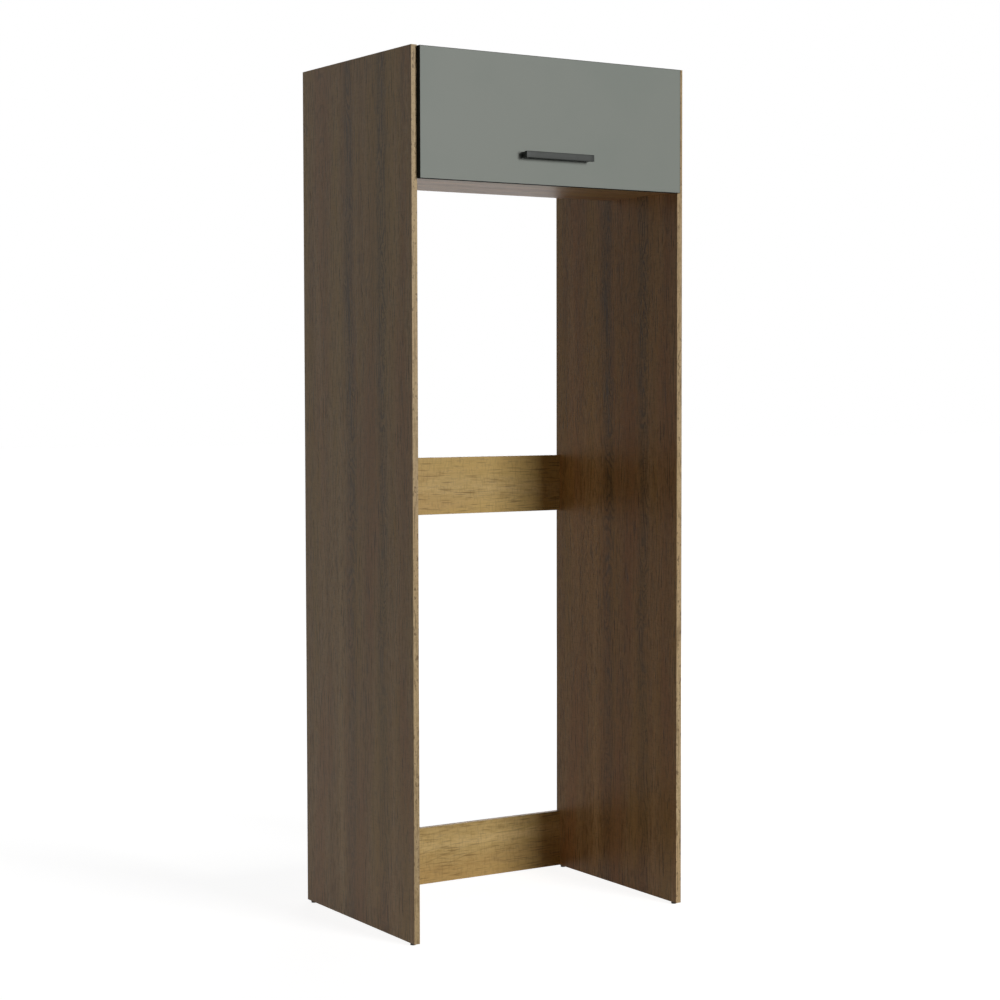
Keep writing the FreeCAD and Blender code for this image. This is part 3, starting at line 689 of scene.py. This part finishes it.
class Palette:
    """Finishes of the cabinet; each is painted once and then shared."""

    BOARD = WoodTones(deep=(148, 113, 76), middle=(192, 156, 112), light=(224, 189, 142),
                      red=(186, 138, 97), gold=(202, 168, 109), streak=(100, 83, 61), pore=(82, 62, 42))
    RAIL = WoodTones(deep=(172, 141, 87), middle=(204, 174, 113), light=(225, 195, 135),
                     red=(202, 164, 102), gold=(217, 185, 112), streak=(130, 104, 66), pore=(106, 80, 46))
    BAND = WoodTones(deep=(160, 134, 96), middle=(198, 172, 130), light=(228, 201, 157),
                     red=(198, 165, 121), gold=(212, 182, 128), streak=(118, 94, 63), pore=(94, 72, 46))
    BEECH = WoodTones(deep=(190, 152, 104), middle=(204, 168, 120), light=(214, 180, 134),
                      red=(208, 166, 116), gold=(212, 176, 124), streak=(180, 142, 96), pore=(150, 110, 70))
    GREY_BOARD = PlainFoil("grey_board", (137, 143, 135), (140, 145, 137))
    # Door edge bands: this near-black tone, much darker than the door's grey, paints in the shade of the
    # narrow gaps along the door's left and bottom edges. The low specular keeps sheen from lightening that
    # painted shade.
    DOOR_EDGE_AND_GAP_SHADE = PlainFoil("grey_band", (40, 40, 38), (44, 44, 41), roughness=0.7, specular=0.02)
    HARDBOARD = Hardboard("hardboard", (121, 90, 61), (94, 68, 44))
    GRAPHITE = CoatedMetal("graphite_metal", (44, 47, 44), (50, 53, 50), 0.42, 1600.0, specular=0.28)
    TUBE_PAINT = CoatedMetal("tube_paint", (30, 30, 32), (38, 38, 40), 0.28, 700.0, coat=0.4)
    ZINC = PlatedSteel("zinc", (196, 198, 200), (176, 178, 176), 0.34, Axis.Z)
    NICKEL = PlatedSteel("nickel", (202, 199, 192), (184, 180, 170), 0.28, Axis.Y)
    CHROME = PlatedSteel("rod_chrome", (222, 223, 225), (212, 212, 214), 0.12, Axis.X)
    BLACK_PLASTIC = MouldedPlastic("black_plastic", (34, 33, 32), (44, 43, 42), 0.5)
    CLEAR_RUBBER = MouldedPlastic("clear_rubber", (222, 222, 216), (206, 206, 198), 0.35, clearness=0.6)

    def __init__(self) -> None:
        """Start with no finish painted."""
        self.painted: dict[str, bpy.types.Material] = {}

    @classmethod
    def board(cls, along: Axis, face: Axis, streaks: tuple[float, ...] = ()) -> WoodFoil:
        """Give the foil of the side, top and bottom panels."""
        return WoodFoil("wood_foil", along, face, cls.BOARD, streaks, growth=0.28, fleck=0.38,
                        pore_share=0.70)

    @classmethod
    def rail(cls) -> WoodFoil:
        """Give the foil of the back rails, cut from a more golden part of the print."""
        return WoodFoil("wood_foil", Axis.X, Axis.Y, cls.RAIL, growth=0.24, pore_share=0.50, tick=0.20)

    @classmethod
    def band(cls, along: Axis, face: Axis) -> WoodFoil:
        """Give the edge band that matches the foil, with its broad face square to an axis."""
        return WoodFoil("edge_band", along, face, cls.BAND, fleck=0.85, stroke_scale=70.0, raw_edges=False)

    @classmethod
    def beech(cls) -> WoodFoil:
        """Give the plain beech of the dowels."""
        return WoodFoil("beech", Axis.X, Axis.Y, cls.BEECH, raw_edges=False)

    def dress(self, piece: bpy.types.Object, finish: Finish) -> None:
        """Give a piece its finish.

        Args:
            piece: Node or modelled piece.
            finish: Its finish.
        """
        title = finish.name
        if isinstance(finish, WoodFoil):
            title = "%s_%s_on_%s" % (finish.name, finish.along.name.lower(), finish.face.name.lower())
        if title not in self.painted:
            self.painted[title] = finish.paint(title)
        piece.data.materials.clear()
        piece.data.materials.append(self.painted[title])
        LOG.info("%s is finished in %s", piece.name, title)


@dataclass
class Bench:
    """One new piece on the bench, in edit mode, shaped with Blender's own tools."""

    piece: bpy.types.Object

    WELD = 0.001 * MM  # points closer than this are joined

    @classmethod
    def block(cls, name: str, low: Vector, high: Vector) -> "Bench":
        """Start from a box.

        Args:
            name: Name of the piece.
            low: Lowest corner.
            high: Highest corner.

        Returns:
            The bench with the box on it.
        """
        bpy.ops.object.select_all(action="DESELECT")
        bpy.ops.mesh.primitive_cube_add(size=1.0, location=(low + high) / 2, scale=high - low)
        return cls._clamp(name)

    @classmethod
    def drum(cls, name: str, radius: float, length: float, sides: int = 48) -> "Bench":
        """Start from an upright cylinder that stands on the origin.

        Args:
            name: Name of the piece.
            radius: Radius of the cylinder.
            length: Its height.
            sides: Number of its sides.

        Returns:
            The bench with the cylinder on it.
        """
        bpy.ops.object.select_all(action="DESELECT")
        bpy.ops.mesh.primitive_cylinder_add(vertices=sides, radius=radius, depth=length,
                                            location=(0.0, 0.0, length / 2))
        return cls._clamp(name)

    @classmethod
    def _clamp(cls, name: str) -> "Bench":
        """Name the new primitive, set its place into its mesh and open it for editing.

        Args:
            name: Name of the piece.

        Returns:
            The bench with the piece on it.
        """
        piece = bpy.context.object
        piece.name = piece.data.name = name
        bpy.ops.object.transform_apply(location=True, rotation=True, scale=True)
        bpy.ops.object.mode_set(mode="EDIT")
        return cls(piece)

    def choose(self, test: Callable[[Vector, Vector], bool]) -> None:
        """Select faces.

        Args:
            test: Says from a face's middle and normal whether it is wanted.
        """
        bpy.ops.mesh.select_mode(type="FACE")
        bpy.ops.mesh.select_all(action="DESELECT")
        mesh = bmesh.from_edit_mesh(self.piece.data)
        for face in mesh.faces:
            face.select_set(test(face.calc_center_median(), face.normal))
        bmesh.update_edit_mesh(self.piece.data)

    def choose_corners(self, test: Callable[[Vector], bool], angle: float = 40.0) -> None:
        """Select outer edges that are sharp.

        Args:
            test: Says from an edge's middle whether it is wanted.
            angle: Least turn across an edge, in degrees.
        """
        bpy.ops.mesh.select_mode(type="EDGE")
        bpy.ops.mesh.select_all(action="DESELECT")
        mesh = bmesh.from_edit_mesh(self.piece.data)
        for edge in mesh.edges:
            sharp = edge.is_convex and edge.calc_face_angle(0.0) > math.radians(angle)
            edge.select_set(sharp and test((edge.verts[0].co + edge.verts[1].co) / 2))
        bmesh.update_edit_mesh(self.piece.data)

    def cut(self, axis: Axis, *places: float) -> None:
        """Cut all faces along planes.

        Args:
            axis: Axis square to the planes.
            *places: Where the planes cross that axis.
        """
        for place in places:
            bpy.ops.mesh.select_all(action="SELECT")
            bpy.ops.mesh.bisect(plane_co=axis.way * place, plane_no=axis.way)

    def draw_out(self, move: Vector) -> None:
        """Extrude the chosen faces by a vector."""
        bpy.ops.mesh.extrude_region_move(TRANSFORM_OT_translate={"value": move})

    def inset(self, width: float) -> None:
        """Set a smaller outline into the chosen faces."""
        bpy.ops.mesh.inset(thickness=width)

    def bevel(self, width: float, segments: int = 3) -> None:
        """Round the chosen edges."""
        bpy.ops.mesh.bevel(offset=width, segments=segments, affect="EDGES")

    def neck(self, share: float) -> None:
        """Draw the chosen faces in towards the upright axis."""
        bpy.ops.transform.resize(value=(share, share, 1.0), center_override=(0.0, 0.0, 0.0))

    def take_off(self, angle: float = 35.0) -> bpy.types.Object:
        """Clean the mesh, smooth it and leave edit mode.

        Args:
            angle: Least angle between faces that stays a visible edge, in degrees.

        Returns:
            The piece.
        """
        bpy.ops.mesh.select_all(action="SELECT")
        bpy.ops.mesh.remove_doubles(threshold=self.WELD)
        bpy.ops.mesh.normals_make_consistent(inside=False)
        bpy.ops.object.mode_set(mode="OBJECT")
        bpy.ops.object.shade_smooth_by_angle(angle=math.radians(angle))
        return self.piece

    @staticmethod
    def copy(piece: bpy.types.Object, name: str, base: Vector, upwards: Vector) -> bpy.types.Object:
        """Copy an upright piece with a mesh of its own and set it in place.

        Args:
            piece: Piece that stands on the origin.
            name: Name of the copy.
            base: Where its origin goes.
            upwards: Where its upright axis points.

        Returns:
            The copy.
        """
        bpy.ops.object.select_all(action="DESELECT")
        piece.select_set(True)
        bpy.context.view_layer.objects.active = piece
        bpy.ops.object.duplicate(linked=False)
        made = bpy.context.object
        made.name = made.data.name = name
        made.rotation_euler = upwards.to_track_quat("Z", "Y").to_euler()
        made.location = base
        bpy.ops.object.transform_apply(location=True, rotation=True, scale=True)
        return made


@dataclass
class SubAssembly(ABC):
    """Group of pieces that is built and dressed together."""

    nodes: Mapping[str, bpy.types.Object]
    palette: Palette

    def install(self, piece: bpy.types.Object, finish: Finish, body: str, *replaced: str) -> None:
        """Finish a modelled piece and join it to the part.

        Args:
            piece: The piece, in its place.
            finish: Its finish.
            body: Body that it moves with.
            *replaced: Nodes that it stands for.
        """
        self.palette.dress(piece, finish)
        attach(piece, body)
        if replaced:
            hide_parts(*replaced)

    def dress_nodes(self, finish: Finish, *names: str) -> None:
        """Give several nodes the same finish."""
        for name in names:
            self.palette.dress(self.nodes[name], finish)

    @abstractmethod
    def dress(self) -> None:
        """Model what the group replaces or adds, and finish all of it."""


@dataclass
class Carcass(SubAssembly):
    """Boards of the cabinet and the bands on their edges."""

    streaks_behind_front: tuple[float, float] = (150.0 * MM, 312.0 * MM)

    def dress(self) -> None:
        """Give every board and band its foil, with the grain along its length."""
        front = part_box("left_front_edge_band")[0].y
        upright = Palette.board(Axis.Z, Axis.X, tuple(front + depth for depth in self.streaks_behind_front))
        self.dress_nodes(upright, "left_side_panel", "right_side_panel")
        self.dress_nodes(Palette.board(Axis.X, Axis.Z), "top_panel", "bottom_panel")
        self.dress_nodes(Palette.rail(), "middle_back_rail", "lower_back_rail")
        self.dress_nodes(Palette.band(Axis.Z, Axis.Y), "left_front_edge_band", "right_front_edge_band")
        self.dress_nodes(Palette.band(Axis.X, Axis.Y), "compartment_edge_bands")
        self.dress_nodes(Palette.band(Axis.X, Axis.Z), "rail_edge_bands")
        self.dress_nodes(Palette.HARDBOARD, "back_panel")


@dataclass
class Joinery(SubAssembly):
    """Cams, bolts, dowels, nails and wall angles."""

    def dress(self) -> None:
        """Give the fittings their plating and the dowels their wood."""
        self.dress_nodes(Palette.ZINC, "cam_housings", "cam_bolts", "back_panel_nails", "foot_nails",
                         "left_wall_angle", "right_wall_angle", "wall_angle_screws")
        self.dress_nodes(Palette.beech(), "wood_dowels")


@dataclass
class Glides(SubAssembly):
    """Nail-on glides under the side panels."""

    rim: float = 1.2 * MM
    well_radius: float = 2.65 * MM
    well_depth: float = 2.0 * MM
    flange: float = 1.2 * MM
    sole_wall: float = 0.3 * MM
    waist_edge: float = 0.25 * MM
    waist: float = 0.93

    def model(self) -> bpy.types.Object:
        """Shape one glide: a flange against the panel, a waist, a rounded sole and a well for the nail.

        Returns:
            The glide, standing on the origin.
        """
        low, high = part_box("front_left_foot")
        height, radius = high.z - low.z, (high.x - low.x) / 2
        bench = Bench.drum("glide", radius, height)
        bench.choose_corners(lambda middle: middle.z < self.rim / 2)
        bench.bevel(self.rim, segments=5)
        bench.choose(lambda middle, normal: normal.z < -FACING)
        bench.inset(radius - self.rim - self.well_radius)
        bench.draw_out(Axis.Z.way * self.well_depth)
        bench.cut(Axis.Z, self.rim + self.sole_wall, height - self.flange)
        bench.choose(lambda middle, normal: abs(normal.z) < UPRIGHT and middle.xy.length > radius / 2
                     and self.rim < middle.z < height - self.flange)
        bench.inset(self.waist_edge)
        bench.neck(self.waist)
        return bench.take_off()

    def dress(self) -> None:
        """Set a copy of the glide at each corner and take the pattern away."""
        pattern = self.model()
        for side in Side:
            for place in ("front", "back"):
                node = "%s_%s_foot" % (place, side.word)
                low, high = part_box(node)
                base = Vector(((low.x + high.x) / 2, (low.y + high.y) / 2, low.z))
                glide = Bench.copy(pattern, "%s_%s_glide" % (place, side.word), base, Axis.Z.way)
                self.install(glide, Palette.BLACK_PLASTIC, "carcass", node)
        bpy.data.objects.remove(pattern)


@dataclass
class FlipDoor(SubAssembly):
    """Door panel with its bands, bumpers and handle."""

    bar_depth: float = 9.0 * MM
    leg_width: float = 12.0 * MM
    leg_inset: float = 1.2 * MM
    rounding: float = 1.1 * MM

    def model_handle(self) -> bpy.types.Object:
        """Shape the bar and draw its two legs out to the door.

        Returns:
            The handle, in its place.
        """
        low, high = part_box("handle")
        bar_back = low.y + self.bar_depth
        inner = high.x - self.leg_width
        bench = Bench.block("bar_handle", low, Vector((high.x, bar_back, high.z)))
        bench.cut(Axis.X, -inner, inner)
        for side in Side:
            bench.choose(lambda middle, normal: normal.y > FACING and middle.x * side.value > inner)
            bench.inset(self.leg_inset)
            bench.draw_out(Axis.Y.way * (high.y - bar_back))
        bench.choose_corners(lambda middle: middle.y < high.y - self.rounding)
        bench.bevel(self.rounding, segments=4)
        return bench.take_off()

    def dress(self) -> None:
        """Give the door its grey foil and its small parts their finishes."""
        self.dress_nodes(Palette.GREY_BOARD, "door_panel")
        # The door's edge bands get the near-black foil that paints in the shade of the gaps beside them.
        self.dress_nodes(Palette.DOOR_EDGE_AND_GAP_SHADE, "door_edge_bands")
        self.dress_nodes(Palette.CLEAR_RUBBER, "door_bumpers")
        self.dress_nodes(Palette.ZINC, "handle_screws")
        self.install(self.model_handle(), Palette.GRAPHITE, "door", "handle")


@dataclass
class CupHinges(SubAssembly):
    """Concealed hinges between the top panel and the door."""

    screw_radius: float = 3.2 * MM
    screw_height: float = 1.3 * MM
    screw_rounding: float = 0.3 * MM
    recess_half: float = 0.45 * MM
    recess_radius: float = 2.2 * MM
    recess_depth: float = 0.8 * MM
    screw_ends: tuple[float, float] = (18.0 * MM, 42.0 * MM)

    def model_screw(self) -> bpy.types.Object:
        """Shape an adjusting screw's low head with a cross recess.

        Returns:
            The head, standing on the origin.
        """
        bench = Bench.drum("adjusting_screw", self.screw_radius, self.screw_height, sides=32)
        bench.choose_corners(lambda middle: middle.z > self.screw_height / 2)
        bench.bevel(self.screw_rounding)
        bench.choose(lambda middle, normal: normal.z > FACING)
        bench.inset(self.screw_radius - self.screw_rounding - self.recess_radius)
        for axis in (Axis.X, Axis.Y):
            bench.cut(axis, -self.recess_half, self.recess_half)
        bench.choose(lambda middle, normal: normal.z > FACING and middle.xy.length < self.recess_radius
                     and min(abs(middle.x), abs(middle.y)) < self.recess_half)
        bench.draw_out(-Axis.Z.way * self.recess_depth)
        return bench.take_off()

    def set_screws(self) -> None:
        """Set the adjusting screws under both arms."""
        pattern = self.model_screw()
        for side in Side:
            low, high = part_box(side.word + "_hinge_arm")
            for number, back in enumerate(self.screw_ends, 1):
                seat = Vector(((low.x + high.x) / 2, low.y + back, low.z))
                name = "%s_adjusting_screw_%d" % (side.word, number)
                screw = Bench.copy(pattern, name, seat, -Axis.Z.way)
                self.install(screw, Palette.ZINC, "carcass")
        bpy.data.objects.remove(pattern)

    def dress(self) -> None:
        """Give the hinges their plating and their adjusting screws."""
        self.set_screws()
        self.dress_nodes(Palette.NICKEL, "hinge_pins", "hinge_cup_screws", "hinge_plate_screws")
        for side in Side:
            stem = side.word + "_hinge_"
            self.dress_nodes(Palette.NICKEL, stem + "cup", stem + "arm", stem + "plate")


@dataclass
class GasStruts(SubAssembly):
    """Struts that hold the door up, with their brackets."""

    tube_radius: float = 7.5 * MM
    tube_wall: float = 1.0 * MM
    shoulder: float = 2.2 * MM
    crimp_from_end: float = 6.5 * MM
    crimp_width: float = 2.4 * MM
    crimp_share: float = 0.93
    crimp_steps: tuple[float, ...] = (-1.0, -0.5, 0.0, 0.5, 1.0)
    smooth_below: float = 50.0

    def model_tube(self, side: Side) -> bpy.types.Object:
        """Shape a strut's tube: a rounded closed end, a rolled crimp over the gland and a hollow.

        Args:
            side: Side of the strut.

        Returns:
            The tube, in its place.
        """
        stem = side.word + "_strut_"
        low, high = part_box(stem + "tube")
        centre = (low + high) / 2
        along = (sum(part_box(stem + "rod"), Vector()) / 2 - centre).normalized()
        length = (high.z - low.z - 2 * self.tube_radius * math.sqrt(1 - along.z ** 2)) / along.z
        crimp = length - self.crimp_from_end
        bench = Bench.drum(stem + "tube_pattern", self.tube_radius, length)
        bench.choose_corners(lambda middle: middle.z < length / 2)
        bench.bevel(self.shoulder, segments=6)
        bench.cut(Axis.Z, *(crimp + self.crimp_width * step for step in self.crimp_steps))
        bench.choose(lambda middle, normal: abs(normal.z) < UPRIGHT
                     and abs(middle.z - crimp) < self.crimp_width / 2)
        bench.neck(self.crimp_share)
        bench.choose(lambda middle, normal: normal.z > FACING and middle.z > length - self.tube_wall)
        bench.inset(self.tube_wall)
        bench.draw_out(Axis.Z.way * (self.tube_wall + self.shoulder - length))
        pattern = bench.take_off(self.smooth_below)
        tube = Bench.copy(pattern, stem + "barrel", centre - along * length / 2, along)
        bpy.data.objects.remove(pattern)
        return tube

    def dress(self) -> None:
        """Give the struts and brackets their finishes."""
        self.dress_nodes(Palette.NICKEL, "strut_side_screws", "strut_door_screws")
        for side in Side:
            stem = side.word + "_strut_"
            self.dress_nodes(Palette.NICKEL, stem + "side_bracket", stem + "door_bracket")
            self.install(self.model_tube(side), Palette.TUBE_PAINT, stem + "cylinder", stem + "tube")
            self.dress_nodes(Palette.CHROME, stem + "rod")
            self.dress_nodes(Palette.BLACK_PLASTIC, stem + "tube_end", stem + "gland", stem + "rod_end",
                             stem + "piston")


@dataclass(frozen=True)
class Softbox:
    """Soft lamp, placed by its bearing from the point that it faces; square unless its height is given.

    The azimuth runs in degrees from the front round to the right, and the power is in watts.
    """

    name: str
    azimuth: float
    elevation: float
    distance: float
    size: float
    power: float
    height: Optional[float] = None

    def hang(self, aim: Vector) -> None:
        """Make the lamp and point it at its aim.

        Args:
            aim: Point that the lamp faces.
        """
        lamp = bpy.data.lights.new(self.name, "AREA")
        lamp.energy = self.power
        lamp.size = self.size
        if self.height is not None:
            lamp.shape = "RECTANGLE"
            lamp.size_y = self.height
        turn, rise = math.radians(self.azimuth), math.radians(self.elevation)
        level = math.cos(rise)
        towards = Vector((math.sin(turn) * level, -math.cos(turn) * level, math.sin(rise)))
        holder = bpy.data.objects.new(self.name, lamp)
        holder.location = aim + towards * self.distance
        holder.rotation_euler = (-towards).to_track_quat("-Z", "Y").to_euler()
        bpy.context.scene.collection.objects.link(holder)


@dataclass
class Studio:
    """Floor, world and lamps.

    The floor is seen with its tone and a glow, and throws light back with another tone, the bounce. Both
    glow and bounce have a value near the object, one far away and a reach, the distances between which
    they change. The door fill, hidden by the shut door, lights the open door's inner face.
    """

    floor_half: float = 40.0
    floor_tone: float = 0.50
    glow: tuple[float, float] = (0.90, 1.0)
    glow_reach: tuple[float, float] = (1.0, 4.0)
    bounce: tuple[float, float] = (0.62, 0.06)
    bounce_reach: tuple[float, float] = (0.4, 2.2)
    ambient: float = 0.008
    aim: Vector = field(default_factory=lambda: Vector((0.0, -0.1, 1.15)))
    lamps: tuple[Softbox, ...] = (  # azimuth, elevation, distance, size and power
        Softbox("key", 15.6, 11.0, 11.0, 3.2, 738.0),
        Softbox("left_fill", -92.0, 0.0, 6.0, 4.0, 25.0),
        Softbox("right_fill", 98.0, 14.0, 6.0, 3.0, 16.0),
        Softbox("back_fill", 146.0, 18.0, 6.0, 3.0, 44.0),
    )
    door_aim: Vector = field(default_factory=lambda: Vector((0.0, -0.43, 2.08)))
    door_fill: Softbox = Softbox("door_fill", 180.0, -46.0, 0.30, 0.60, 0.6, 0.05)

    def lay_floor(self) -> None:
        """Lay a pale floor that shows white where no shadow falls and throws light up near the object."""
        bpy.ops.object.select_all(action="DESELECT")
        bpy.ops.mesh.primitive_plane_add(size=2 * self.floor_half)
        floor = bpy.context.object
        floor.name = "floor"
        sheet = ShaderSheet("studio_floor")
        place = sheet.places.outputs["Object"]
        distance = sheet.add("ShaderNodeVectorMath", {0: place}, operation="LENGTH").outputs["Value"]
        bounce, glow = (
            sheet.add("ShaderNodeMapRange", dict(enumerate((distance, *reach, *ends)))).outputs[0]
            for reach, ends in ((self.bounce_reach, self.bounce), (self.glow_reach, self.glow)))
        dull = sheet.add("ShaderNodeBsdfDiffuse", {"Color": bounce}).outputs[0]
        pale = sheet.add("ShaderNodeBsdfDiffuse", {"Color": (self.floor_tone,) * 3 + (1.0,)}).outputs[0]
        shine = sheet.add("ShaderNodeEmission", {"Strength": glow}).outputs[0]
        seen = sheet.add("ShaderNodeAddShader", {0: pale, 1: shine}).outputs[0]
        surface = sheet.add("ShaderNodeMixShader", {0: sheet.seen_rays(), 1: dull, 2: seen}).outputs[0]
        sheet.add("ShaderNodeOutputMaterial", {0: surface})
        floor.data.materials.append(sheet.material)

    def light_world(self) -> None:
        """Show a white surrounding and light the object with a much dimmer one."""
        world = bpy.data.worlds.new("studio")
        bpy.context.scene.world = world
        world.use_nodes = True
        sheet = NodeSheet(world.node_tree)
        strength = sheet.add("ShaderNodeMapRange", {0: sheet.seen_rays(), 3: self.ambient, 4: 1.0})
        ground = sheet.add("ShaderNodeBackground", {"Color": WHITE, "Strength": strength.outputs[0]})
        sheet.add("ShaderNodeOutputWorld", {0: ground.outputs[0]})

    def build(self) -> None:
        """Set up the whole studio."""
        self.lay_floor()
        self.light_world()
        for lamp in self.lamps:
            lamp.hang(self.aim)
        self.door_fill.hang(self.door_aim)
        bpy.context.scene.view_settings.view_transform = "Standard"


@dataclass
class PhotoCamera:
    """Camera at the photograph's viewpoint."""

    place: Vector = field(default_factory=lambda: Vector((-2.9125, -4.7988, 1.3225)))
    yaw: float = 33.703
    pitch: float = -2.777
    focal_pixels: float = 2221.26
    centre_pixels: tuple[float, float] = (591.72, 492.89)
    sensor: float = 36.0

    def build(self) -> None:
        """Make the camera and hand it to the scene."""
        data = bpy.data.cameras.new("photo_camera")
        data.sensor_width = self.sensor
        data.lens = self.focal_pixels / IMAGE_SIDE * self.sensor
        data.shift_x = (IMAGE_SIDE / 2 - self.centre_pixels[0]) / IMAGE_SIDE
        data.shift_y = (self.centre_pixels[1] - IMAGE_SIDE / 2) / IMAGE_SIDE
        camera = bpy.data.objects.new("photo_camera", data)
        camera.location = self.place
        camera.rotation_euler = (math.radians(90.0 + self.pitch), 0.0, math.radians(-self.yaw))
        bpy.context.scene.collection.objects.link(camera)
        bpy.context.scene.camera = camera


def main() -> None:
    """Load the part, dress each sub-assembly, and set up the studio and the camera."""
    logging.basicConfig(level=logging.INFO, format="%(name)s: %(message)s")
    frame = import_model()
    palette = Palette()
    for kind in (Carcass, Joinery, Glides, FlipDoor, CupHinges, GasStruts):
        kind(frame["nodes"], palette).dress()
        LOG.info("%s is done", kind.__name__)
    Studio().build()
    PhotoCamera().build()


if __name__ == "__main__":
    main()
